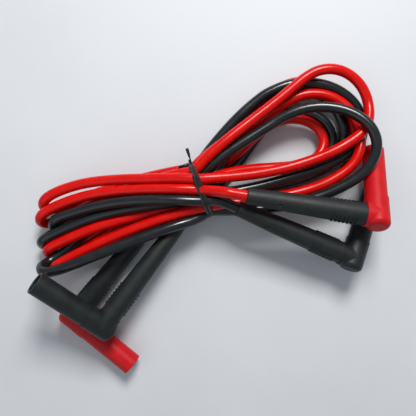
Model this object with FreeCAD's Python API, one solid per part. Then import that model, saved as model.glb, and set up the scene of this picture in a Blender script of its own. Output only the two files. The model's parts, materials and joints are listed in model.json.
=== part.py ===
import FreeCAD, Part
import math
import os

from FreeCAD import Matrix, Placement, Vector

# Pair of multimeter test leads, one red and one black, tied up for storage in one hank.
# Each lead is a silicone cable with a right-angle shrouded 4 mm plug on both ends.
# Millimetres, +Z up. The hank lies on the plane z = 0 and the origin is on that plane,
# under the middle of the box round the plugs and the tie.

# ---- driving dimensions ----
CABLE_D = 5.0             # outside of the silicone jacket
CONDUCTOR_D = 2.0         # fine stranded copper, about 20 A
GAP = 0.3                 # between a plug and cable of the hank that passes it

SHROUD_D = 10.4           # safety shroud round the 4 mm pin
SHROUD_BORE_D = 8.4
SHROUD_MOUTH = 37.0       # boot axis to open end of the shroud
SHROUD_FLOOR = 11.0       # boot axis to bottom of the shroud's bore
COLLAR = 9.0              # boot axis to the seam between elbow and shroud

ELBOW_D = 11.2
ELBOW_BACK = 6.0          # boot axis to the flat back of the elbow
ELBOW_ROUND = 2.6         # rounding of the elbow's back edge
BOOT_SEAM = 6.0           # shroud axis to the seam between elbow and boot

BOOT_TIP = 60.0           # shroud axis to the cable end of the boot
BOOT_ROOT_D = 10.4
BOOT_MID_D = 9.3          # halfway along, so that the taper is slightly bellied
BOOT_TIP_D = 7.0
BOOT_TIP_ROUND = 0.7
RIB_COUNT = 7
RIB_FIRST = 9.5           # shroud axis to the first rib
RIB_PITCH = 1.8
RIB_WIDTH = 0.9
RIB_PROUD = 0.4
RIB_SPREAD = 64.0         # degrees of the boot's side that each rib covers
DIMPLES = (32.0, 45.0)    # shroud axis to each moulded dimple
DIMPLE_D = 1.6
DIMPLE_DEPTH = 0.5

PIN_D = 3.9               # shoulder and head of the 4 mm pin
PIN_NECK_D = 2.8          # neck that the spring cage turns on
PIN_TIP = 33.5            # the tip stays 3.5 mm inside the shroud
NECK_START, NECK_END = 17.0, 31.0
PIN_BLOCK_D = 6.0         # cross-drilled block at the back of the pin
PIN_BLOCK_BACK, PIN_BLOCK_FRONT = -3.0, 5.0
CAGE_PLAY = 0.05          # running clearance of the cage, radially
CAGE_END_PLAY = 0.1
CAGE_THICK = 0.25
CAGE_D = 4.3              # widest part of the relaxed leaves
CAGE_BAND = 2.2           # closed band at each end of the cage
CAGE_SLOTS = 3            # through cuts, so twice as many leaves
CAGE_SLOT_WIDTH = 0.5

BARREL_D = 3.8            # crimp barrel pressed through the pin's block
BARREL_END = 11.0
CORE_D = 8.0              # stiff inner moulding of the elbow
CORE_BACK = -4.4
JACKET_START = 14.0       # where the jacket is stripped, inside the boot

# ---- where the four plugs lie: elbow, mouth of the shroud and cable end of the boot ----
PLUGS = {
    "red_right": ((76.4, -3.7, 24.5), (80.4, 27.6, 6.2), (17.4, 6.2, 26.7)),
    "black_right": ((68.4, -23.5, 13.4), (81.6, 9.8, 5.2), (14.2, -0.6, 20.2)),
    "black_left": ((-49.0, -54.6, 18.4), (-75.6, -32.8, 31.2), (-12.6, -7.3, 11.6)),
    "red_left": ((-65.5, -53.2, 5.6), (-36.9, -76.6, 5.6), (-27.7, -6.6, 5.6)),
}

ORIGIN_AT = (3.59, -24.96)          # the origin, in the layout's own x and y
MOUTH_ROOM = 6.0                   # free space in front of each shroud's mouth

# ---- the hank ----
TIE_AT = (-3.5, 8.8)               # middle of the tie, seen from above
TIE_ALONG = (0.934, 0.358)         # square to the tie, along the bundle
BUNDLE_LENGTH = 12.0
TIE_THICK = 0.6                    # plastic-coated ribbon with a steel wire in its middle
# middles of the outer strands in the tie, across the bundle and above the tie
OUTER_STRANDS = (
    (-5.8, 19.9), (4.5, 19.9), (8.7, 15.6), (10.2, 11.2), (7.6, 6.9),
    (2.5, 2.5), (-2.5, 2.5), (-7.6, 6.9), (-10.2, 11.2), (-8.8, 15.6),
)
TIE_BAND = 1.3
TIE_WRAPS = (-0.75, 0.75)          # middles of the two wraps, along the bundle
TIE_WIRE = (0.4, 0.3)              # width and thickness
TIE_KNOT_D = 2.4
TIE_KNOT_AT = (13.9, 12.0)         # across the bundle and above the floor
TIE_TAILS = ((7.6, (-0.30, 0.94, 0.16)), (7.0, (-0.92, -0.34, 0.18)))   # length, direction

LOBE_HIGH = 18.5                   # stacked strands of the left loops
LOBE_OUTLINE = (
    (-3.0, 21.0), (-28.0, 15.6), (-52.0, 14.4), (-70.0, 10.4), (-81.5, 1.6),
    (-84.2, -14.0), (-82.0, -31.0), (-69.0, -33.2), (-50.0, -24.0),
    (-27.0, -14.6), (-3.0, -8.4),
)
RING_HIGH = 17.0                   # stacked strands of the right loops
RING_OUTLINE = (
    (-3.0, 21.5), (6.0, 35.2), (26.5, 57.2), (42.0, 67.4), (62.0, 70.6), (75.5, 64.0),
    (83.0, 46.0), (85.6, 29.0), (74.5, 10.4), (54.0, 2.6), (30.0, 1.2), (3.0, -2.6),
)
RING_OPENING = (
    (19.5, 25.6), (31.5, 36.2), (45.0, 39.4), (53.0, 30.4), (43.0, 24.8),
)
HANK_EDGE = 3.0                    # rounding of the hank's level edges

# ---- the free ends of the cable, from each right boot to the hank's waist ----
TAILS = {
    "red_tail": ("red_right", ((4.0, 8.8, 25.9), (-2.6, 8.9, 23.4), (-9.2, 8.6, 20.6))),
    "black_tail": ("black_right", ((2.6, 3.8, 21.4), (-2.8, 4.3, 20.2), (-8.2, 4.3, 18.8))),
}
TAIL_LEAD = 7.0                    # straight stretch out of the boot


def unit(v):
    """v at length 1."""
    return Vector(v).normalize()


def revolved(profile):
    """Solid turned about the local X axis from (x, radius) points."""
    edge = Part.makePolygon([Vector(x, r, 0) for x, r in profile] + [Vector(*profile[0], 0)])
    return Part.Face(edge).revolve(Vector(0, 0, 0), Vector(1, 0, 0), 360)


def rod_x(diameter, start, end):
    """Cylinder along local X, the axis of the pin and the shroud."""
    return Part.makeCylinder(diameter / 2, end - start, Vector(start, 0, 0), Vector(1, 0, 0))


def rod_y(diameter, start, end):
    """Cylinder along local Y, the axis of the boot and the cable."""
    return Part.makeCylinder(diameter / 2, end - start, Vector(0, start, 0), Vector(0, 1, 0))


def boot_radius(y):
    """Radius of the boot's bellied taper at a distance y from the shroud axis."""
    t = (y - BOOT_SEAM) / (BOOT_TIP - BOOT_SEAM)
    root, middle, tip = BOOT_ROOT_D / 2, BOOT_MID_D / 2, BOOT_TIP_D / 2
    return root * (1 - t) * (1 - 2 * t) + middle * 4 * t * (1 - t) + tip * t * (2 * t - 1)


def taper():
    """The boot's outside without ribs, dimples or bore."""
    middle = (BOOT_SEAM + BOOT_TIP) / 2
    side_end = Vector(boot_radius(BOOT_TIP), BOOT_TIP, 0)
    side_start = Vector(boot_radius(BOOT_SEAM), BOOT_SEAM, 0)
    side = Part.Arc(side_start, Vector(boot_radius(middle), middle, 0), side_end)
    edges = [
        side.toShape(),
        Part.makeLine(side_end, Vector(0, BOOT_TIP, 0)),
        Part.makeLine(Vector(0, BOOT_TIP, 0), Vector(0, BOOT_SEAM, 0)),
        Part.makeLine(Vector(0, BOOT_SEAM, 0), Vector(boot_radius(BOOT_SEAM), BOOT_SEAM, 0)),
    ]
    body = Part.Face(Part.Wire(edges)).revolve(Vector(0, 0, 0), Vector(0, 1, 0), 360)
    tip_edge = [e for e in body.Edges if e.BoundBox.YMin > BOOT_TIP - 0.01]
    return body.makeFillet(BOOT_TIP_ROUND, tip_edge)


def shroud():
    """Open safety tube with a floor that the pin passes through."""
    tube = rod_x(SHROUD_D, COLLAR, SHROUD_MOUTH)
    tube = tube.cut(rod_x(SHROUD_BORE_D, SHROUD_FLOOR, SHROUD_MOUTH + 1))
    rim = [e for e in tube.Edges if e.BoundBox.XMin > SHROUD_MOUTH - 0.01]
    return tube.makeFillet(0.25, rim).cut(rod_x(PIN_D, COLLAR - 1, SHROUD_FLOOR + 1))


def elbow_outside():
    """Two crossed cylinders with a rounded back."""
    along = rod_x(ELBOW_D, -ELBOW_BACK, COLLAR)
    back = [e for e in along.Edges if e.BoundBox.XMax < -ELBOW_BACK + 0.01]
    along = along.makeFillet(ELBOW_ROUND, back)
    return along.fuse(rod_y(ELBOW_D, 0, BOOT_SEAM)).removeSplitter()


def core_outside():
    """The stiff inner moulding that holds the pin's block square."""
    return rod_x(CORE_D, CORE_BACK, COLLAR).fuse(rod_y(CORE_D, 0, BOOT_SEAM)).removeSplitter()


def pin_outside():
    """Pin with a rear block, a shoulder, a neck for the cage and a rounded head."""
    big, neck, block = PIN_D / 2, PIN_NECK_D / 2, PIN_BLOCK_D / 2
    nose = 1.1
    return revolved([
        (PIN_BLOCK_BACK, 0), (PIN_BLOCK_BACK, block), (PIN_BLOCK_FRONT, block), (PIN_BLOCK_FRONT, big),
        (NECK_START, big), (NECK_START, neck), (NECK_END, neck), (NECK_END, big),
        (PIN_TIP - nose, big), (PIN_TIP - nose / 3, big - nose / 2), (PIN_TIP, big - nose), (PIN_TIP, 0),
    ])


def spring_cage():
    """Lantern of sprung leaves that turns freely on the pin's neck."""
    start, end = NECK_START + CAGE_END_PLAY, NECK_END - CAGE_END_PLAY
    band = PIN_NECK_D / 2 + CAGE_PLAY
    crown = CAGE_D / 2 - CAGE_THICK
    middle = (start + end) / 2

    def wall(offset):
        """One side of the leaf's section, offset outwards from the inside."""
        a = Vector(start + CAGE_BAND, band + offset, 0)
        b = Vector(end - CAGE_BAND, band + offset, 0)
        bow = Part.Arc(a, Vector(middle, crown + offset, 0), b).toShape()
        return [Part.makeLine(Vector(start, band + offset, 0), a), bow,
                Part.makeLine(b, Vector(end, band + offset, 0))]

    ends = [Part.makeLine(Vector(x, band, 0), Vector(x, band + CAGE_THICK, 0)) for x in (start, end)]
    outline = Part.Wire(Part.__sortEdges__(wall(0) + wall(CAGE_THICK) + ends))
    cage = Part.Face(outline).revolve(Vector(0, 0, 0), Vector(1, 0, 0), 360)
    for i in range(CAGE_SLOTS):
        slot = Part.makeBox(end - start - 2 * CAGE_BAND, CAGE_D + 1, CAGE_SLOT_WIDTH)
        slot.translate(Vector(start + CAGE_BAND, -(CAGE_D + 1) / 2, -CAGE_SLOT_WIDTH / 2))
        slot.rotate(Vector(0, 0, 0), Vector(1, 0, 0), 180.0 * i / CAGE_SLOTS)
        cage = cage.cut(slot)
    return cage


def boot():
    """Soft tapered strain relief with side ribs and two dimples on each face."""
    body = taper()
    for i in range(RIB_COUNT):
        y = RIB_FIRST + i * RIB_PITCH
        for side in (0, 180):
            rib = Part.makeCylinder(boot_radius(y) + RIB_PROUD, RIB_WIDTH, Vector(0, y, 0),
                                    Vector(0, 1, 0), RIB_SPREAD)
            # the sector is turned so that its middle faces along +X or -X
            middle = rib.CenterOfMass
            turn = math.degrees(math.atan2(middle.z, middle.x))
            rib.rotate(Vector(0, 0, 0), Vector(0, 1, 0), turn + side)
            body = body.fuse(rib)
    for y in DIMPLES:
        for side in (1, -1):
            lean = math.radians(60)
            out = Vector(-math.sin(lean), 0, side * math.cos(lean))
            centre = Vector(0, y, 0) + out * (boot_radius(y) + DIMPLE_D / 2 - DIMPLE_DEPTH)
            body = body.cut(Part.makeSphere(DIMPLE_D / 2, centre))
    body = body.cut(rod_y(BARREL_D, BOOT_SEAM - 1, BARREL_END))
    body = body.cut(rod_y(CONDUCTOR_D, BARREL_END - 1, JACKET_START + 1))
    return body.cut(rod_y(CABLE_D, JACKET_START, BOOT_TIP + 1))


def plug_pieces():
    """Every piece of one plug in its own frame: shroud along +X, boot along +Y."""
    barrel_outside = rod_y(BARREL_D, PIN_BLOCK_BACK, BARREL_END)
    conductor = rod_y(CONDUCTOR_D, PIN_BLOCK_BACK + 1, BOOT_TIP)
    pin = pin_outside().cut(barrel_outside)
    core = core_outside().cut(pin_outside()).cut(barrel_outside)
    return {
        "shroud": shroud(),
        "elbow": elbow_outside().cut(core_outside()),
        "boot": boot(),
        "pin": pin,
        "spring_cage": spring_cage(),
        "core": core,
        "crimp_barrel": barrel_outside.cut(rod_y(CONDUCTOR_D, PIN_BLOCK_BACK + 1, BARREL_END + 1)),
        "conductor": conductor,
        "jacket": rod_y(CABLE_D, JACKET_START, BOOT_TIP).cut(rod_y(CONDUCTOR_D, 0, BOOT_TIP + 1)),
    }


def frame_at(origin, x, y, z):
    """Placement with these axes, all at length 1 and square to each other."""
    return Placement(Matrix(x.x, y.x, z.x, origin.x, x.y, y.y, z.y, origin.y,
                            x.z, y.z, z.z, origin.z, 0, 0, 0, 1))


def plug_placement(elbow, mouth, boot_end):
    """Puts a plug's own frame in place, with the boot square to the shroud."""
    origin = Vector(*elbow)
    x = unit(Vector(*mouth) - origin)
    toward = Vector(*boot_end) - origin
    y = unit(toward - x * toward.dot(x))
    z = x.cross(y)
    return frame_at(origin, x, y, z)


def placed(shape, placement):
    """A copy of shape in that place."""
    copy = shape.copy()
    copy.Placement = placement.multiply(copy.Placement)
    return copy


def rounded_outline(points):
    """Closed outline of straight runs joined by tangent arcs, as large as the runs allow."""
    corners = [Vector(x, y, 0) for x, y in points]
    count = len(corners)
    arcs = []
    for i, corner in enumerate(corners):
        before, after = corners[i - 1] - corner, corners[(i + 1) % count] - corner
        cut = 0.45 * min(before.Length, after.Length)
        a, b = corner + unit(before) * cut, corner + unit(after) * cut
        half = unit(before).getAngle(unit(after)) / 2
        radius = cut * math.tan(half)
        centre = corner + unit(unit(before) + unit(after)) * (cut / math.cos(half))
        arcs.append((a, centre + unit(corner - centre) * radius, b))
    edges = []
    for i, (a, middle, b) in enumerate(arcs):
        edges.append(Part.Arc(a, middle, b).toShape())
        edges.append(Part.makeLine(b, arcs[(i + 1) % count][0]))
    return Part.Wire(edges)


def slab(points, height, rounding):
    """Prism on z = 0 with a rounded outline and rounded top and bottom edges."""
    solid = Part.Face(rounded_outline(points)).extrude(Vector(0, 0, height))
    if rounding:
        level = [e for e in solid.Edges if e.BoundBox.ZLength < 0.001]
        solid = solid.makeFillet(rounding, level)
    return solid


def tie_axes():
    """Directions along the bundle, across it and up."""
    along = unit(Vector(*TIE_ALONG, 0))
    return along, Vector(-along.y, along.x, 0), Vector(0, 0, 1)


def across_tie(grow, length, offset=0.0):
    """Prism along the bundle round its outer strands, grown outwards, middle at an offset."""
    along, side, up = tie_axes()
    hull = Part.makePolygon([Vector(a, z, 0) for a, z in OUTER_STRANDS + OUTER_STRANDS[:1]])
    section = Part.Wire(hull.makeOffset2D(CABLE_D / 2 + grow).Edges)
    body = Part.Face(section).extrude(Vector(0, 0, length))
    start = Vector(*TIE_AT, TIE_THICK) + along * (offset - length / 2)
    body.Placement = frame_at(start, side, up, along)
    return body


def hoop(inset, width, offset):
    """Hoop in the ribbon round the bundle, inset from both faces of the ribbon."""
    ring = across_tie(TIE_THICK - inset, width, offset)
    return ring.cut(across_tie(inset, width + 1, offset))


def strip(start, along, width, thick, skip, length):
    """Straight stretch of ribbon or wire, from a distance skip past its start."""
    along = unit(along)
    flat = unit(along.cross(Vector(0, 0, 1)))
    bar = Part.makeBox(length, width, thick, Vector(skip, -width / 2, -thick / 2))
    bar.Placement = frame_at(start, along, flat, along.cross(flat))
    return bar


def tie_pieces():
    """Twist tie: a ribbon wrapped twice and twisted at the side, and the wire inside it."""
    side = tie_axes()[1]
    across, high = TIE_KNOT_AT
    knot_at = Vector(*TIE_AT, high) + side * across
    wire_width, wire_thick = TIE_WIRE
    ribbon = Part.makeSphere(TIE_KNOT_D / 2 + 0.2, knot_at)
    wire = Part.makeSphere(wire_width / 2, knot_at)
    for length, direction in TIE_TAILS:
        out = Vector(*direction)
        ribbon = ribbon.fuse(strip(knot_at, out, TIE_BAND, TIE_THICK, 0, length))
        wire = wire.fuse(strip(knot_at, out, wire_width, wire_thick, 0, length))
    bundle = across_tie(0, BUNDLE_LENGTH)
    ribbon, wire = ribbon.cut(bundle), wire.cut(bundle)
    for offset in TIE_WRAPS:
        ribbon = ribbon.fuse(hoop(0, TIE_BAND, offset))
        wire = wire.fuse(hoop((TIE_THICK - wire_thick) / 2, wire_width, offset))
    return {"tie_ribbon": ribbon.cut(wire), "tie_wire": wire}


def plug_room():
    """The space that the hank leaves free round one plug, in the plug's own frame."""
    boot_room = Part.makeCone(BOOT_ROOT_D / 2 + RIB_PROUD + GAP, BOOT_TIP_D / 2 + GAP, BOOT_TIP,
                              Vector(0, 0, 0), Vector(0, 1, 0))
    return boot_room.fuse(rod_x(ELBOW_D + 2 * GAP, -ELBOW_BACK - GAP, SHROUD_MOUTH + MOUTH_ROOM))


def hank(placements):
    """Outer shape of the tied cable: left lobe, waist and right ring, clear of the plugs."""
    bundle = across_tie(0, BUNDLE_LENGTH + 2)
    ring = slab(RING_OUTLINE, RING_HIGH, HANK_EDGE)
    hole = Part.Face(rounded_outline(RING_OPENING)).extrude(Vector(0, 0, RING_HIGH + 2))
    hole.translate(Vector(0, 0, -1))
    body = slab(LOBE_OUTLINE, LOBE_HIGH, HANK_EDGE).fuse(ring.cut(hole))
    # the loops are cut back to the tie's narrow bundle along its stretch
    body = body.cut(across_tie(RING_HIGH, BUNDLE_LENGTH)).fuse(bundle)
    for placement in placements:
        body = body.cut(placed(plug_room(), placement))
    return body


def tube(route, diameter):
    """Cable along straight runs joined by tangent arcs, with its radii printed."""
    points = [Vector(*p) for p in route]
    edges, here, length = [], points[0], 0.0
    for before, corner, after in zip(points, points[1:], points[2:]):
        into, out = unit(corner - before), unit(after - corner)
        turn = into.getAngle(out)
        cut = 0.45 * min((corner - before).Length, (after - corner).Length)
        radius = cut / math.tan(turn / 2)
        start, end = corner - into * cut, corner + out * cut
        centre = corner + unit(out - into) * (cut / math.sin(turn / 2))
        middle = centre + unit(corner - centre) * radius
        edges += [Part.makeLine(here, start), Part.Arc(start, middle, end).toShape()]
        length += (start - here).Length + radius * turn
        here = end
        print(f"  radius {radius:.1f} mm, turn {math.degrees(turn):.0f} degrees")
    edges.append(Part.makeLine(here, points[-1]))
    length += (points[-1] - here).Length
    circle = Part.Wire(Part.Circle(points[0], points[1] - points[0], diameter / 2).toShape())
    body = Part.Wire(edges).makePipeShell([circle], True, False)
    section = math.pi * (diameter / 2) ** 2
    print(f"  length {length:.1f} mm, volume over section x length {body.Volume / length / section:.4f}")
    return body


def tail(plug, rest, others):
    """Free cable from a boot's end to the hank, clear of the pieces that it meets."""
    elbow, mouth, boot_end = PLUGS[plug]
    placement = plug_placement(elbow, mouth, boot_end)
    start = placement.multVec(Vector(0, BOOT_TIP, 0))
    lead = placement.multVec(Vector(0, BOOT_TIP + TAIL_LEAD, 0))
    free = tube([start, lead, *rest], CABLE_D)
    for other in others:
        free = free.cut(other)
    return max(free.Solids, key=lambda solid: solid.Volume)


def build():
    """Every node's shape, by name."""
    places = {plug: plug_placement(*where) for plug, where in PLUGS.items()}
    shapes = {}
    for plug, placement in places.items():
        for name, shape in plug_pieces().items():
            shapes[f"{plug}_{name}"] = placed(shape, placement)
    shapes.update(tie_pieces())
    hank_solid = hank(places.values())
    own = Part.makeCompound(list(shapes.values())).optimalBoundingBox(False)
    print("box of plugs and tie", own, "centre", own.Center)
    met = [hank_solid, across_tie(TIE_THICK, BUNDLE_LENGTH)]
    for name, (plug, rest) in TAILS.items():
        shapes[name] = tail(plug, rest, met)
        met.append(shapes[name])
    shapes["hank"] = hank_solid
    return shapes


def main():
    """Centres the model on its origin and writes one STEP file per node."""
    os.makedirs("parts", exist_ok=True)
    for name, shape in build().items():
        shape.translate(Vector(-ORIGIN_AT[0], -ORIGIN_AT[1], 0))
        box = shape.optimalBoundingBox(False)
        facts = f"{len(shape.Solids)} solid, valid {shape.isValid()}, {shape.Volume:.1f} mm3"
        print(f"{name}: {facts}, lowest {box.ZMin:.2f}")
        shape.exportStep(f"parts/{name}.step")


main()
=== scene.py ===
import json
import math

import bpy
import numpy as np
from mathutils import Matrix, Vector

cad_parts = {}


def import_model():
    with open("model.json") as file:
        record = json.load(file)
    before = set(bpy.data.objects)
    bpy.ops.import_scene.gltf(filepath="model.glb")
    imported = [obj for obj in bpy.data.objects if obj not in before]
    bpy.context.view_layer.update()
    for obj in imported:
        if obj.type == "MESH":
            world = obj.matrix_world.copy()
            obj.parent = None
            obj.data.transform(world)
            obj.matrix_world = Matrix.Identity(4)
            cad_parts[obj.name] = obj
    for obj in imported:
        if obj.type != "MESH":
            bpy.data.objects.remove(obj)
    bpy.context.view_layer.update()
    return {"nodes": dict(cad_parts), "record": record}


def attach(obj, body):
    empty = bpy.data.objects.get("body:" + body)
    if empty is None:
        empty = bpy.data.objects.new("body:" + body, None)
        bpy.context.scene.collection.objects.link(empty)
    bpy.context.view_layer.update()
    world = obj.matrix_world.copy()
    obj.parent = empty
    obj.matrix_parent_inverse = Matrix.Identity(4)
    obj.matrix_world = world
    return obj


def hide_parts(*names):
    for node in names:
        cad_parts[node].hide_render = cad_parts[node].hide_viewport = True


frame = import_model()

# Looks of a tied-up pair of test leads: both cables, the twist tie, the plugs' parting lines and
# every material. Routes are worked out in millimetres in the layout frame of part.py, whose origin
# lies LAYOUT_SHIFT away from the model's, and are made in metres.

MM = 0.001
LAYOUT_SHIFT = (3.59, -24.96)
CABLE_D = 5.0
CAMERA_HEIGHT = 250.0
CAMERA_LENS = 43.27                # millimetres, on a 36 mm sensor

# ---- the tie, as in part.py ----
TIE_AT = (-3.5, 8.8)
TIE_ALONG = (0.934, 0.358)
TIE_THICK = 0.6
ROWS = 5
ROW_PITCH = 4.36


def world(point):
    """Layout millimetres to the model's metres."""
    return Vector(((point[0] - LAYOUT_SHIFT[0]) * MM, (point[1] - LAYOUT_SHIFT[1]) * MM, point[2] * MM))


def layout(point):
    """The model's metres to layout millimetres."""
    return np.array([point[0] / MM + LAYOUT_SHIFT[0], point[1] / MM + LAYOUT_SHIFT[1], point[2] / MM])


# ---- camera ----
def add_camera():
    """Looks straight down on the hank, with +Y upwards in the picture."""
    data = bpy.data.cameras.new("camera")
    data.sensor_width = 36.0
    data.lens = CAMERA_LENS
    data.clip_start = 0.01
    camera = bpy.data.objects.new("camera", data)
    camera.location = world((0, 0, CAMERA_HEIGHT))
    bpy.context.scene.collection.objects.link(camera)
    bpy.context.scene.camera = camera


add_camera()


# ---- where the plugs are ----
BOOT_TIP = 60.0                    # shroud's axis to the cable end of the boot, as in part.py


def main_axis(points, seen_from):
    """Direction along a long piece, away from a point near one of its ends."""
    centre = points.mean(axis=0)
    axis = np.linalg.svd(points - centre)[2][0]
    return axis * np.sign(axis @ (centre - seen_from))


def plug_axes(plug):
    """Elbow, mouth, cable end of the boot and the cable's direction there, in layout millimetres."""
    def corners(node):
        mesh = frame["nodes"][f"{plug}_{node}"].data
        return np.array([layout(v.co) for v in mesh.vertices])

    jacket, shroud = corners("jacket"), corners("shroud")
    centre = jacket.mean(axis=0)
    axis = main_axis(jacket, corners("elbow").mean(axis=0))
    cable_end = centre + axis * ((jacket - centre) @ axis).max()
    elbow = cable_end - axis * BOOT_TIP
    shroud_axis = main_axis(shroud, elbow)
    mouth = elbow + shroud_axis * ((shroud - elbow) @ shroud_axis).max()
    return elbow, mouth, cable_end, axis


plugs = {name: plug_axes(name) for name in ("red_right", "black_right", "black_left", "red_left")}

# ---- how firmly each kind of control point keeps its place while the strands settle ----
FIXED = 1.0                        # at the boots
LANE_HOLD = 0.03                   # in the lanes and loops
SLOT_HOLD = 0.45                   # in the tie


# ---- the nine slots of each lead in the tie: row from the top, then the place across the bundle ----
def slot(row, across):
    """Middle of the strand in that slot of the tie."""
    z = TIE_THICK + CABLE_D / 2 + (ROWS - 1 - row) * ROW_PITCH
    return np.array([TIE_AT[0] - TIE_ALONG[1] * across, TIE_AT[1] + TIE_ALONG[0] * across, z])


RED_SLOTS = ((0, -0.6), (1, 8.6), (0, 4.5), (2, 10.1), (1, -8.8), (3, 2.6), (2, -5.1), (1, 3.0),
             (4, 2.5))
BLACK_SLOTS = ((0, -5.8), (2, 5.0), (2, -10.2), (3, 7.6), (1, -3.0), (2, 0), (3, -2.5), (4, -2.5),
               (3, -7.6))

# Left loops, in the order of each lead: end of the top lane, the lane's place at the tie, its bow,
# the fold's radius, how the fold goes over (to the side and down), and the top lane's height.
# A level lane ends in line with the hank, and the others carry on along their bow.
LEFT_LOOPS = {
    "red": (
        dict(end=(-76.0, -1.4), waist=8.9, bow=4.2, radius=6.4, fold=(0.45, 0.89), high=15.0),
        dict(end=(-74.8, 6.0), waist=13.6, bow=5.6, radius=6.4, fold=(0.45, 0.89), high=14.5),
        dict(end=(-69.2, -24.8), waist=0.1, bow=1.35, radius=5.6, fold=(0.15, 0.98), high=14.5),
        dict(end=(-72.0, -18.2), waist=-0.3, bow=2.4, radius=5.8, fold=(0.30, 0.95), high=14.0),
    ),
    "black": (
        dict(end=(-69.0, -5.1), waist=3.3, bow=3.0, radius=6.0, fold=(0.50, 0.87), high=14.0),
        dict(end=(-72.2, -29.8), waist=-1.8, bow=1.05, radius=6.2, fold=(-0.45, 0.89), high=16.0,
             level=True),
        dict(end=(-75.2, -14.2), waist=2.8, bow=2.7, radius=5.8, fold=(0.35, 0.94), high=14.0),
        dict(end=(-48.0, -18.8), waist=-4.5, bow=1.0, radius=5.5, fold=(-0.60, 0.80), high=9.0),
    ),
}

# Right loops: middle and radii of the far end's ellipse, the angle at which the strand leaves the
# tie, and its heights as it rises, at the crown, at the side and on the way back. The strand leaves
# the ellipse at the angle leave and lies along level at the tie. A backwards loop runs the other way.
RIGHT_LOOPS = {
    "red": (
        dict(middle=(57.8, 47.0), radii=(18.6, 18.8), lean=48, heights=(14.0, 14.0, 8.0, 13.0)),
        dict(middle=(51.4, 33.4), radii=(22.2, 21.6), lean=46, heights=(8.0, 8.0, 6.0, 9.0)),
        dict(middle=(49.0, 35.0), radii=(24.6, 26.9), lean=56, heights=(2.6, 2.6, 2.6, 4.0)),
        dict(middle=(40.5, 31.8), radii=(16.4, 12.1), lean=46, heights=(6.0, 6.0, 6.0, 11.0),
             backwards=True, leave=-88, level=(0.90, 0.43, 0.0)),
    ),
    "black": (
        dict(middle=(52.2, 27.4), radii=(26.2, 19.8), lean=47, heights=(13.0, 14.0, 15.0, 13.0)),
        dict(middle=(47.4, 40.4), radii=(27.0, 20.2), lean=56, heights=(8.0, 9.0, 5.5, 6.0)),
        dict(middle=(46.0, 38.4), radii=(20.2, 20.0), lean=53, heights=(3.2, 3.2, 3.0, 4.0)),
        dict(middle=(44.2, 32.6), radii=(17.8, 15.0), lean=46, heights=(2.6, 2.6, 2.6, 3.0)),
    ),
}

TOP_LANE = (0.09, 0.20, 0.38, 0.57, 0.76, 0.93)      # places of a lane's points, from the tie
LOW_LANE = (0.90, 0.73, 0.54, 0.36, 0.19, 0.08)
TOP_CLIMB = 1.3                                      # a lane gets its far end's height 1 / this along
LOW_CLIMB = 1.6
LOW_BOW = 1.3                                        # as bow is for the top lanes
FOLD_TURNS = (-60, 0, 60)
FOLD_CORNER = math.cos(math.radians(30))             # the fold's points stand outside its arc


def left_loop(slot_out, slot_back, end, waist, bow, radius, fold, high, level=False):
    """Out along the top lane, round a fold and back along the lower lane."""
    start, back = slot(*slot_out), slot(*slot_back)
    top_end = np.array([*end, high])
    fall = 0.0 if level else bow * (top_end[1] - waist)
    outward = np.array([top_end[0] - start[0], fall, 0.0])
    outward = outward / np.linalg.norm(outward)
    across = np.array([-outward[1] * fold[0], outward[0] * fold[0], -fold[1]])
    across = across / np.linalg.norm(across)
    points = []
    for t in TOP_LANE:
        x = start[0] + (top_end[0] - start[0]) * t
        y = waist + (top_end[1] - waist) * t ** bow
        z = start[2] + (top_end[2] - start[2]) * min(1.0, t * TOP_CLIMB)
        points.append([x, y, z])
    centre = top_end + across * radius
    for turn in FOLD_TURNS:
        a = math.radians(turn)
        points.append(centre + (outward * math.cos(a) + across * math.sin(a)) * radius / FOLD_CORNER)
    low_end = centre + across * radius
    for t in LOW_LANE:
        x = back[0] + (low_end[0] - back[0]) * t
        y = back[1] + (low_end[1] - back[1]) * t ** LOW_BOW
        z = back[2] + (low_end[2] - back[2]) * min(1.0, t * LOW_CLIMB)
        points.append([x, y, z])
    return points


FAR_LANE = (0.08, 0.20, 0.38, 0.57, 0.75, 0.91)
FAR_CLIMB = 1.5
FAR_START = 132                    # degrees round the ellipse where the strand reaches its far end
FAR_POINTS = 8
FAR_MARGIN = 20                    # degrees of the ellipse left to the lower lane
HEIGHT_TURNS = (-30, 0, 90, 140)   # degrees: past the side, at the side, at the crown and rising
LANE_REACH = 0.36                  # share of a lane's length over which its ends keep their direction
OUTSIDE = 1.02                     # the far end's points stand outside its ellipse
LEVEL = (0.998, 0.05, 0.0)         # direction at the tie of most lower lanes


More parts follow.
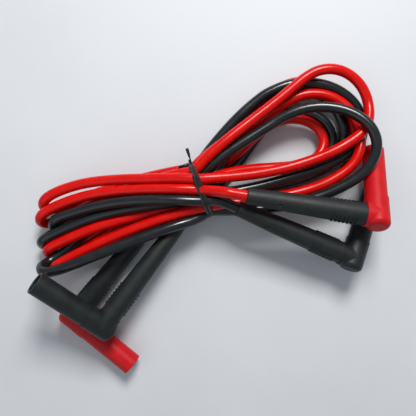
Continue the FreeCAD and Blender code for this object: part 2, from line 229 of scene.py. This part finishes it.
def right_loop(slot_out, slot_back, middle, radii, lean, heights, backwards=False,
               leave=-62, level=LEVEL):
    """From the tie up to the crown, round the far end and back to the tie."""
    upper, lower = (slot_back, slot_out) if backwards else (slot_out, slot_back)
    start, end = slot(*upper), slot(*lower)
    rise, crown, side, low = heights

    def far(turn, z):
        a = math.radians(turn)
        x = middle[0] + OUTSIDE * radii[0] * math.cos(a)
        y = middle[1] + OUTSIDE * radii[1] * math.sin(a)
        return np.array([x, y, z])

    def lane(a, a_dir, b, before_b, z):
        """Points of a smooth lane from the tie at a to the far end at b."""
        a_dir = np.array(a_dir)
        b_dir = (before_b - b) / np.linalg.norm(before_b - b)
        reach = np.linalg.norm(b - a) * LANE_REACH
        p1, p2 = a + a_dir * reach, b + b_dir * reach
        points = []
        for t in FAR_LANE:
            p = (1 - t) ** 3 * a + 3 * (1 - t) ** 2 * t * p1 + 3 * (1 - t) * t * t * p2 + t ** 3 * b
            ease = min(1.0, t * FAR_CLIMB)
            p[2] = a[2] * (1 - ease) + z * ease
            points.append(p)
        return points

    rising = (math.cos(math.radians(lean)), math.sin(math.radians(lean)), 0.0)
    points = lane(start, rising, far(FAR_START, rise), far(FAR_START + 1, rise), rise)
    turns = np.linspace(FAR_START, leave + FAR_MARGIN, FAR_POINTS)
    zs = np.interp(turns, (leave, *HEIGHT_TURNS), (low, (low + side) / 2, side, crown, rise))
    points += [far(turn, z) for turn, z in zip(turns, zs)]
    points += lane(end, level, far(leave, low), far(leave - 1, low), low)[::-1]
    return points[::-1] if backwards else points


EXIT_STEPS = (4.0, 10.0)           # points straight out of a boot, from its end


def lead_route(colour, slots):
    """Control points of one lead from its right boot to its left boot, and how firmly each is held."""
    _, _, start, start_axis = plugs[f"{colour}_right"]
    _, _, end, end_axis = plugs[f"{colour}_left"]
    near, further = EXIT_STEPS
    points = [start, start + start_axis * near, start + start_axis * further]
    hold = [FIXED, FIXED, LANE_HOLD]
    for i, place in enumerate(slots):
        points.append(slot(*place))
        hold.append(SLOT_HOLD)
        if i == len(slots) - 1:
            break
        if i % 2 == 0:
            loop = left_loop(place, slots[i + 1], **LEFT_LOOPS[colour][i // 2])
        else:
            loop = right_loop(place, slots[i + 1], **RIGHT_LOOPS[colour][i // 2])
        points += list(loop)
        hold += [LANE_HOLD] * len(loop)
    points += [end + end_axis * further, end + end_axis * near, end]
    hold += [LANE_HOLD, FIXED, FIXED]
    return np.array(points, float), np.array(hold)


# ---- settling: the strands push each other apart and rest on each other, the plugs and the floor ----
SAMPLES = 5                        # places looked at between two control points
ROUNDS = 600
EARLY_SHARE = 0.75                 # of the rounds, with EARLY's values and with weight
EARLY = (0.15, 1.0)                # share of its neighbours in a point's shift, share of its hold
LATE = (0.04, 0.3)
CLEARANCE = CABLE_D * 1.01         # between the middles of two strands
NEAR_BY = 3.0                      # how much further apart a pair is still watched
PAIRS_EVERY = 8                    # rounds from one search for pairs to the next
OWN_LENGTH = 12.0                  # places nearer than this along one strand don't push each other
FLOOR = CABLE_D / 2 + 0.25         # lowest height of a strand's middle
WEIGHT = 0.02                      # millimetres that a lane sinks each round
PUSH = 1.3                         # a little more than the lack, so that the strands settle sooner
BOOT_ROOM = (5.8, 3.6)             # radius of a boot, with room, at the elbow and the cable end
SHROUD_ROOM = (5.7, 5.3)           # the same for a shroud, at the elbow and the mouth
PLUG_GAP = 0.1
PLUG_TIP = 0.995                   # share of a plug's length after which its own cable may leave it


def weights(count):
    """Rows of the quadratic spline's weights on its control points, SAMPLES a point."""
    rows = []
    for i in range(1, count - 1):
        for k in range(SAMPLES):
            t = (k + 0.5) / SAMPLES
            a, b, c = (1 - t) ** 2, 2 * t * (1 - t), t * t
            row = np.zeros(count)
            row[i] += b
            if i == 1:
                row[0] += a
            else:
                row[i - 1] += a / 2
                row[i] += a / 2
            if i == count - 2:
                row[count - 1] += c
            else:
                row[i + 1] += c / 2
                row[i] += c / 2
            rows.append(row)
    return np.array(rows)


def run_lengths(line):
    """Length along a line at each of its points."""
    return np.concatenate([[0], np.cumsum(np.linalg.norm(np.diff(line, axis=0), axis=1))])


def near_pairs(samples, arc, owner):
    """Numbers of the samples that are close, and not neighbours on one strand."""
    gap2 = ((samples[:, None, :] - samples[None, :, :]) ** 2).sum(axis=2)
    near = gap2 < (CLEARANCE + NEAR_BY) ** 2
    same = (owner[:, None] == owner[None, :]) & (np.abs(arc[:, None] - arc[None, :]) < OWN_LENGTH)
    return np.nonzero(np.triu(near & ~same, 1))


def strand_push(samples, first, second):
    """How far each sample is pushed by the strands that it lies too near to."""
    push = np.zeros_like(samples)
    gap = samples[first] - samples[second]
    distance = np.linalg.norm(gap, axis=1)
    lack = np.clip(CLEARANCE - distance, 0, None)
    shove = gap / np.maximum(distance, 1e-6)[:, None] * (lack / 2)[:, None]
    np.add.at(push, first, shove)
    np.add.at(push, second, -shove)
    hits = np.zeros(len(samples))
    np.add.at(hits, first[lack > 0], 1)
    np.add.at(hits, second[lack > 0], 1)
    return push / np.maximum(hits, 1)[:, None] ** 0.5


def plug_push(samples, a, b, ra, rb):
    """How far each sample is pushed out of a tapered plug from a to b."""
    run = b - a
    t = np.clip((samples - a) @ run / (run @ run), 0, 1)
    away = samples - (a + t[:, None] * run)
    distance = np.linalg.norm(away, axis=1)
    room = ra + (rb - ra) * t + CABLE_D / 2 + PLUG_GAP
    miss = np.clip(room - distance, 0, None) * (t < PLUG_TIP)
    return away / np.maximum(distance, 1e-6)[:, None] * miss[:, None]


def settle(routes):
    """Moves the free control points of all routes, round by round for a set number of rounds, pushing
    strands that lie too near each other apart.
    """
    matrices = [weights(len(points)) for points, _ in routes]
    rest = [points.copy() for points, _ in routes]
    now = [points.copy() for points, _ in routes]
    holds = [hold for _, hold in routes]
    counts = [len(m) for m in matrices]
    offsets = np.cumsum([0] + counts)
    owner = np.concatenate([np.full(c, i) for i, c in enumerate(counts)])
    solids = []
    for elbow, mouth, cable_end, _ in plugs.values():
        solids.append((elbow, cable_end, *BOOT_ROOM))
        solids.append((elbow, mouth, *SHROUD_ROOM))
    for step in range(ROUNDS):
        lines = [m @ p for m, p in zip(matrices, now)]
        samples = np.concatenate(lines)
        if step % PAIRS_EVERY == 0:
            arc = np.concatenate([run_lengths(line) for line in lines])
            first, second = near_pairs(samples, arc, owner)
        push = strand_push(samples, first, second)
        for solid in solids:
            push += plug_push(samples, *solid)
        push[:, 2] += np.clip(FLOOR - samples[:, 2], 0, None)
        early = step < ROUNDS * EARLY_SHARE
        blend, ease = EARLY if early else LATE
        for i, m in enumerate(matrices):
            part = push[offsets[i]:offsets[i + 1]]
            move = (m.T @ part) / m.sum(axis=0)[:, None] * PUSH
            shift = now[i] + move - rest[i]
            smooth = shift.copy()
            smooth[1:-1] = (shift[:-2] + shift[2:]) / 2
            shift = shift * (1 - blend) + smooth * blend
            in_tie = holds[i] == SLOT_HOLD
            shift[:, :2] *= 1 - ease * holds[i][:, None]
            shift[in_tie, 2] *= 1 - ease * SLOT_HOLD
            if early:
                shift[:, 2] -= WEIGHT * (holds[i] == LANE_HOLD)
            shift[holds[i] == FIXED] = 0
            now[i] = rest[i] + shift
    return now


# ---- the cords ----
def cord_object(name, points):
    """One open smooth spline through the given control points."""
    curve = bpy.data.curves.new(name, "CURVE")
    curve.dimensions = "3D"
    spline = curve.splines.new("NURBS")
    spline.points.add(len(points) - 1)
    for target, point in zip(spline.points, points):
        target.co = (*world(point), 1.0)
        target.radius = CABLE_D / 2 * MM
    spline.order_u = 3
    spline.use_endpoint_u = True
    spline.resolution_u = 8
    curve.bevel_depth = 1.0        # times the points' radius, which is the cable's
    curve.bevel_resolution = 6
    curve.use_fill_caps = True
    piece = bpy.data.objects.new(name, curve)
    bpy.context.scene.collection.objects.link(piece)
    return piece


def curve_length(piece):
    """Length of the spline, measured on the evaluated curve with no bevel."""
    depth = piece.data.bevel_depth
    piece.data.bevel_depth = 0.0
    bpy.context.view_layer.update()
    mesh = bpy.data.meshes.new_from_object(piece.evaluated_get(bpy.context.evaluated_depsgraph_get()))
    co = [v.co.copy() for v in mesh.vertices]
    length = sum((b - a).length for a, b in zip(co, co[1:]))
    piece.data.bevel_depth = depth
    bpy.data.meshes.remove(mesh)
    return length


# ---- materials: every one worked out from nodes in the piece's own coordinates ----
def node(tree, kind, **values):
    """Adds a node and sets the sockets named by values."""
    made = tree.nodes.new(kind)
    for socket, value in values.items():
        made.inputs[socket].default_value = value
    return made


def noise(tree, scale, detail, rough):
    """Noise in object coordinates; scale counts features a metre."""
    place = tree.nodes.new("ShaderNodeTexCoord")
    made = node(tree, "ShaderNodeTexNoise", Scale=scale, Detail=detail, Roughness=rough)
    tree.links.new(place.outputs["Object"], made.inputs["Vector"])
    return made.outputs["Fac"]


def spread(tree, source, low, high):
    """Maps the middle of a noise's range to the range from low to high."""
    made = tree.nodes.new("ShaderNodeMapRange")
    made.inputs["From Min"].default_value = 0.35
    made.inputs["From Max"].default_value = 0.65
    made.inputs["To Min"].default_value = low
    made.inputs["To Max"].default_value = high
    tree.links.new(source, made.inputs["Value"])
    return made.outputs["Result"]


def colours(tree, source, stops):
    """Colour ramp over a value, from (position, colour) stops."""
    ramp = tree.nodes.new("ShaderNodeValToRGB")
    while len(ramp.color_ramp.elements) < len(stops):
        ramp.color_ramp.elements.new(0.5)
    for element, (position, colour) in zip(ramp.color_ramp.elements, stops):
        element.position = position
        element.color = (*colour, 1.0)
    tree.links.new(source, ramp.inputs["Fac"])
    return ramp.outputs["Color"]


def bump(tree, shader, layers):
    """Stacks bumps from (value, strength, height in metres) layers."""
    normal = None
    for source, strength, height in layers:
        made = node(tree, "ShaderNodeBump", Strength=strength, Distance=height)
        tree.links.new(source, made.inputs["Height"])
        if normal:
            tree.links.new(normal, made.inputs["Normal"])
        normal = made.outputs["Normal"]
    tree.links.new(normal, shader.inputs["Normal"])


def finish(name, dark, light, rough, grain, patch, fixed=None):
    """Moulded or drawn material: patchy colour, uneven gloss, a fine grain and slow waves.

    rough is the range of roughness, grain and patch are (features a metre, height) of the bump, and
    fixed holds values that are the same all over.
    """
    material = bpy.data.materials.new(name)
    material.use_nodes = True
    tree = material.node_tree
    shader = tree.nodes["Principled BSDF"]
    for socket, value in (fixed or {}).items():
        shader.inputs[socket].default_value = value
    fine = noise(tree, grain[0], 3.0, 0.6)
    slow = noise(tree, patch[0], 5.0, 0.55)
    tree.links.new(colours(tree, slow, ((0.32, dark), (0.68, light))), shader.inputs["Base Color"])
    tree.links.new(spread(tree, slow, *rough), shader.inputs["Roughness"])
    bump(tree, shader, ((slow, 0.5, patch[1]), (fine, 0.6, grain[1])))
    return material


def strands_finish(name, dark, light, pitch, tilt):
    """Fine bare wires laid side by side with a twist: their waves stand in for the plain grain."""
    material = finish(name, dark, light, (0.25, 0.42), (9000, 0.00001), (400, 0.00001), {"Metallic": 1.0})
    tree = material.node_tree
    shader = tree.nodes["Principled BSDF"]
    place = tree.nodes.new("ShaderNodeTexCoord")
    mapping = tree.nodes.new("ShaderNodeMapping")
    mapping.inputs["Rotation"].default_value = tilt
    wave = node(tree, "ShaderNodeTexWave", Scale=pitch, Distortion=0.6, Detail=1.0)
    tree.links.new(place.outputs["Object"], mapping.inputs["Vector"])
    tree.links.new(mapping.outputs["Vector"], wave.inputs["Vector"])
    bump(tree, shader, ((wave.outputs["Fac"], 0.8, 0.00008),))
    return material


CABLE_GRAIN, CABLE_PATCH = (3200, 0.000008), (170, 0.000015)
MOULD_GRAIN, MOULD_PATCH = (5200, 0.000035), (210, 0.00004)
METAL_GRAIN, METAL_PATCH = (7000, 0.000004), (500, 0.00001)
METAL = {"Metallic": 1.0}


def gloss(level):
    """How strongly a plain material mirrors."""
    return {"Specular IOR Level": level}


MATERIALS = {
    "red_cable": finish(
        "red_silicone", (0.500, 0.0018, 0.0006), (0.560, 0.0032, 0.0010), (0.22, 0.29),
        CABLE_GRAIN, CABLE_PATCH, gloss(0.26)),
    "black_cable": finish(
        "black_silicone", (0.0060, 0.0080, 0.0095), (0.0095, 0.0122, 0.0140), (0.20, 0.27),
        CABLE_GRAIN, CABLE_PATCH, gloss(0.48)),
    "red_plug": finish(
        "red_moulded_plastic", (0.430, 0.0030, 0.0060), (0.490, 0.0050, 0.0085), (0.40, 0.50),
        MOULD_GRAIN, MOULD_PATCH, gloss(0.22)),
    "black_plug": finish(
        "black_moulded_plastic", (0.0065, 0.0090, 0.0090), (0.0105, 0.0135, 0.0135), (0.42, 0.54),
        MOULD_GRAIN, MOULD_PATCH, gloss(0.36)),
    "boot_rubber": finish(
        "soft_boot_rubber", (0.0062, 0.0086, 0.0090), (0.0105, 0.0135, 0.0140), (0.48, 0.60),
        (4200, 0.000040), (260, 0.00003), gloss(0.36)),
    "nickel_plate": finish(
        "nickel_plate", (0.55, 0.54, 0.50), (0.66, 0.65, 0.61), (0.16, 0.30),
        METAL_GRAIN, METAL_PATCH, METAL),
    "spring_bronze": finish(
        "spring_bronze", (0.52, 0.36, 0.17), (0.64, 0.46, 0.24), (0.22, 0.36),
        METAL_GRAIN, METAL_PATCH, METAL),
    "core_moulding": finish(
        "nylon_core", (0.30, 0.29, 0.26), (0.38, 0.37, 0.33), (0.38, 0.50),
        (4200, 0.00003), (260, 0.00004)),
    "barrel_brass": finish(
        "crimped_brass", (0.58, 0.42, 0.15), (0.70, 0.53, 0.22), (0.22, 0.38),
        (7000, 0.000006), (500, 0.00001), METAL),
    "copper_strand": strands_finish(
        "copper_strands", (0.62, 0.27, 0.14), (0.78, 0.38, 0.22), 2600, (0, 0.5, 0.8)),
    "tie_plastic": finish(
        "tie_vinyl", (0.0075, 0.0085, 0.0095), (0.0120, 0.0135, 0.0150), (0.24, 0.36),
        (2600, 0.00002), (700, 0.00002), gloss(0.34)),
    "tie_steel": finish(
        "galvanised_wire", (0.42, 0.43, 0.44), (0.56, 0.57, 0.58), (0.28, 0.42),
        (6000, 0.000006), (600, 0.00001), METAL),
}


def dress_nodes():
    """Gives every CAD node the material of its slot in the record."""
    for part in frame["record"]["subparts"]:
        piece = frame["nodes"][part["node"]]
        piece.data.materials.clear()
        piece.data.materials.append(MATERIALS[part["material_slot"]])


# ---- mesh pieces ----
def mesh_piece(name, corners, faces, slot_name):
    """A closed smooth mesh from layout millimetres, riding on the leads."""
    mesh = bpy.data.meshes.new(name)
    mesh.from_pydata([world(p) for p in corners], [], faces)
    mesh.validate()
    mesh.polygons.foreach_set("use_smooth", [True] * len(mesh.polygons))
    mesh.materials.append(MATERIALS[slot_name])
    piece = bpy.data.objects.new(name, mesh)
    bpy.context.scene.collection.objects.link(piece)
    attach(piece, "leads")
    return piece


def swept(path, normals, section):
    """Corners and faces of a closed section carried along a path, with flat ends."""
    corners, faces, count = [], [], len(section)
    for i, (here, up) in enumerate(zip(path, normals)):
        along = path[min(i + 1, len(path) - 1)] - path[max(i - 1, 0)]
        along = along / np.linalg.norm(along)
        up = up - along * (up @ along)
        up = up / np.linalg.norm(up)
        side = np.cross(along, up)
        corners += [here + side * a + up * b for a, b in section]
    for i in range(len(path) - 1):
        for j in range(count):
            k = (j + 1) % count
            faces.append((i * count + j, i * count + k, (i + 1) * count + k, (i + 1) * count + j))
    last = (len(path) - 1) * count
    faces += [tuple(range(count))[::-1], tuple(range(last, last + count))]
    return corners, faces


# ---- the twist tie ----
OUTER_STRANDS = (
    (-5.8, 19.9), (4.5, 19.9), (8.7, 15.6), (10.2, 11.2), (7.6, 6.9),
    (2.5, 2.5), (-2.5, 2.5), (-7.6, 6.9), (-10.2, 11.2), (-8.8, 15.6),
)                                  # as in part.py: across the bundle, above the tie
TIE_BAND = 1.5                     # width of the ribbon
TIE_WRAP = 0.80                    # each wrap's distance from the middle of the tie
TIE_SLACK = 0.35                   # between the strands and the ribbon
TIE_STEP = (335, 50)               # degrees: start and length of the step from one wrap to the other
TIE_KNOT_AT = (13.9, 12.0)         # across the bundle, above the tie
TIE_TAILS = ((7.6, (-0.30, 0.94, 0.16)), (8.4, (-0.93, -0.32, 0.30)))     # length, direction
TWIST_ENDS = ((1.0, 0.1, 0.5), (-0.6, -0.4, 1.0))     # from the knot: across, along and upwards
TWIST_OFFSET = 0.42                # of each end's middle line from the twist's axis
TWIST_LENGTH = 2.0                 # taken from each tail
TWIST_POINTS = 12
TAIL_POINTS = 8
TAIL_RISE = 0.45                   # how far one tail bends up and the other down
TAIL_SWAY = 1.9                    # radians that a tail turns from its root to its tip
CORE_HALF = 0.26                   # half the width of the ribbon's round core
WING_SHARE = 0.28                  # half a wing's thickness, as a share of the core's whole one
WING_EDGE = 0.06
WIRE_R = 0.17


def tie_point(across, along, high):
    """A place by the tie in the layout frame, high above the tie's own lowest side."""
    return np.array([
        TIE_AT[0] + TIE_ALONG[0] * along - TIE_ALONG[1] * across,
        TIE_AT[1] + TIE_ALONG[1] * along + TIE_ALONG[0] * across,
        high + TIE_THICK,
    ])


def wrap_path():
    """Middle line of the ribbon: from the knot twice round the bundle and back to it."""
    path, normals = [], []
    reach = CABLE_D / 2 + TIE_THICK / 2 + TIE_SLACK
    for turn in range(0, 721, 6):
        a = math.radians(turn)
        out = np.array([math.cos(a), math.sin(a)])
        corner = max(OUTER_STRANDS, key=lambda c: np.array(c) @ out)
        # the ribbon steps from one wrap to the other at the side, beside the knot
        step = min(1.0, max(0.0, (turn - TIE_STEP[0]) / TIE_STEP[1]))
        along = TIE_WRAP * (2 * step - 1)
        across, high = np.array(corner) + out * reach
        path.append(tie_point(across, along, max(high, -TIE_THICK / 2)))
        normals.append(tie_point(out[0], 0, out[1]) - tie_point(0, 0, 0))
    return path, normals


def twisted(start, finish_at, phase):
    """Stretch of one ribbon end in the twist: it winds once round the other end."""
    path, normals = [], []
    axis = finish_at - start
    axis = axis / np.linalg.norm(axis)
    first = np.cross(axis, (0.0, 0.0, 1.0))
    first = first / np.linalg.norm(first)
    second = np.cross(axis, first)
    for i in range(TWIST_POINTS + 1):
        t = i / TWIST_POINTS
        a = phase + 2 * math.pi * t
        out = first * math.cos(a) + second * math.sin(a)
        path.append(start + (finish_at - start) * t + out * TWIST_OFFSET)
        normals.append(out)
    return path, normals


def ribbon_section(width, thick):
    """Flat wings with a round core in the middle, where the wire runs."""
    half, wing = width / 2, thick * WING_SHARE
    turns = [math.radians(a) for a in range(30, 151, 30)]
    core = [(CORE_HALF * math.cos(a), thick / 2 * math.sin(a)) for a in turns]
    top = [(half - WING_EDGE, wing), *core, (-half + WING_EDGE, wing), (-half, 0.0)]
    return top + [(-x, -y) for x, y in top]


def free_end(knot, side):
    """Path and normals of one ribbon end: its stretch of the twist, then its free tail."""
    length, direction = TIE_TAILS[side]
    across, along, up = TWIST_ENDS[side]
    twist_end = tie_point(TIE_KNOT_AT[0] + across, along, TIE_KNOT_AT[1] + up)
    path, normals = twisted(knot, twist_end, math.pi * side)
    root = path[-1]
    out = np.array(direction) / np.linalg.norm(direction)
    for i in range(1, TAIL_POINTS + 1):
        t = i / TAIL_POINTS
        bend = np.array([0.0, 0.0, TAIL_RISE]) * math.sin(math.pi * t) * (1 - 2 * side)
        path.append(root + out * (length - TWIST_LENGTH) * t + bend)
        sway = np.cross(out, (0.0, 0.0, 1.0)) * math.cos(TAIL_SWAY * t + side)
        normals.append(sway + np.array([0, 0, 1]) * math.sin(TAIL_SWAY * t))
    return path, normals


def add_tie():
    """The ribbon with its wire, wrapped twice, twisted at the side and with two free ends."""
    wraps, wrap_normals = wrap_path()
    knot = tie_point(TIE_KNOT_AT[0], 0.0, TIE_KNOT_AT[1])
    first_path, first_normals = free_end(knot, 0)
    last_path, last_normals = free_end(knot, 1)
    path = np.array(first_path[::-1] + wraps[1:-1] + last_path)
    normals = np.array(first_normals[::-1] + wrap_normals[1:-1] + last_normals)
    corners, faces = swept(path, normals, ribbon_section(TIE_BAND, TIE_THICK))
    ribbon = mesh_piece("tie_ribbon_wound", corners, faces, "tie_plastic")
    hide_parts("tie_ribbon")

    # the wire runs inside and shows as a cut stub at each end of the ribbon
    first = path[0] + (path[0] - path[1]) * 0.5
    last = path[-1] + (path[-1] - path[-2]) * 0.5
    line = np.array([first, *path, last])
    line_normals = np.array([normals[0], *normals, normals[-1]])
    turns = [math.radians(a) for a in range(0, 360, 45)]
    round_section = [(WIRE_R * math.cos(a), WIRE_R * math.sin(a)) for a in turns]
    wire = mesh_piece("tie_wire_wound", *swept(line, line_normals, round_section), "tie_steel")
    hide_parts("tie_wire")


# ---- the moulding's fine parting lines, where two materials of a plug meet ----
COLLAR_LINE = (9.0, 5.32)          # from the elbow along the shroud, and radius
ROOT_LINE = (6.0, 5.42)            # from the elbow along the boot, and radius
PARTING_R = 0.13


def ring(name, elbow, axis, other, place, radius, slot_name):
    """A thin torus round an axis through the elbow."""
    centre = elbow + axis * place
    third = np.cross(axis, other)
    around, inside = 72, 8
    corners, faces = [], []
    for i in range(around):
        a = 2 * math.pi * i / around
        out = other * math.cos(a) + third * math.sin(a)
        following = (i + 1) % around
        for j in range(inside):
            b = 2 * math.pi * j / inside
            place_out = radius + PARTING_R * math.cos(b)
            corners.append(centre + out * place_out + axis * PARTING_R * math.sin(b))
            k = (j + 1) % inside
            faces.append((i * inside + j, following * inside + j, following * inside + k, i * inside + k))
    mesh_piece(name, corners, faces, slot_name)


def add_parting_lines():
    """A thin raised line round each plug's collar and round the root of its boot."""
    for name, (elbow, mouth, _, boot_axis) in plugs.items():
        shroud_axis = (mouth - elbow) / np.linalg.norm(mouth - elbow)
        slot_name = name.split("_")[0] + "_plug"
        ring(f"{name}_collar_line", elbow, shroud_axis, boot_axis, *COLLAR_LINE, slot_name)
        ring(f"{name}_boot_root_line", elbow, boot_axis, shroud_axis, *ROOT_LINE, slot_name)


# ---- what is built ----
def add_cables():
    """Both leads' cables as free cords, each from its right boot to its left plug."""
    routes = [lead_route("red", RED_SLOTS), lead_route("black", BLACK_SLOTS)]
    for colour, points in zip(("red", "black"), settle(routes)):
        piece = cord_object(f"{colour}_lead_cable", points)
        piece.data.materials.append(MATERIALS[f"{colour}_cable"])
        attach(piece, "leads")
        round(curve_length(piece), 3)
        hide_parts("hank", f"{colour}_tail")


def add_floor():
    """Pale sheet under the leads."""
    mesh = bpy.data.meshes.new("floor")
    half = 1.5                     # metres
    corners = [(-half, -half, 0), (half, -half, 0), (half, half, 0), (-half, half, 0)]
    mesh.from_pydata(corners, [], [(0, 1, 2, 3)])
    floor = bpy.data.objects.new("floor", mesh)
    bpy.context.scene.collection.objects.link(floor)
    mesh.materials.append(finish(
        "pale_sheet", (0.535, 0.555, 0.585), (0.575, 0.595, 0.625), (0.55, 0.70),
        (900, 0.00002), (12, 0.0002)))


def add_area(name, place, size, power, tint):
    """A soft square light at a place in layout millimetres, aimed at the leads."""
    data = bpy.data.lights.new(name, "AREA")
    data.size = size
    data.energy = power
    data.color = tint
    lamp = bpy.data.objects.new(name, data)
    lamp.location = world(place)
    aim = world((0, 0, 0)) - lamp.location
    lamp.rotation_euler = aim.to_track_quat("-Z", "Y").to_euler()
    bpy.context.scene.collection.objects.link(lamp)


def add_light():
    """One large soft light past the top of the picture, a weak one opposite and a pale sky."""
    add_area("key", (90, 440, 520), 0.22, 5.4, (1.0, 0.985, 0.965))
    add_area("fill", (-420, -300, 500), 0.6, 0.7, (0.95, 0.98, 1.0))
    sky = bpy.data.worlds.new("sky")
    sky.use_nodes = True
    background = sky.node_tree.nodes["Background"]
    background.inputs["Color"].default_value = (0.84, 0.89, 0.95, 1.0)
    background.inputs["Strength"].default_value = 0.36
    bpy.context.scene.world = sky
    bpy.context.scene.view_settings.view_transform = "Standard"


dress_nodes()
add_cables()
add_tie()
add_parting_lines()
add_floor()
add_light()

bpy.context.view_layer.update()
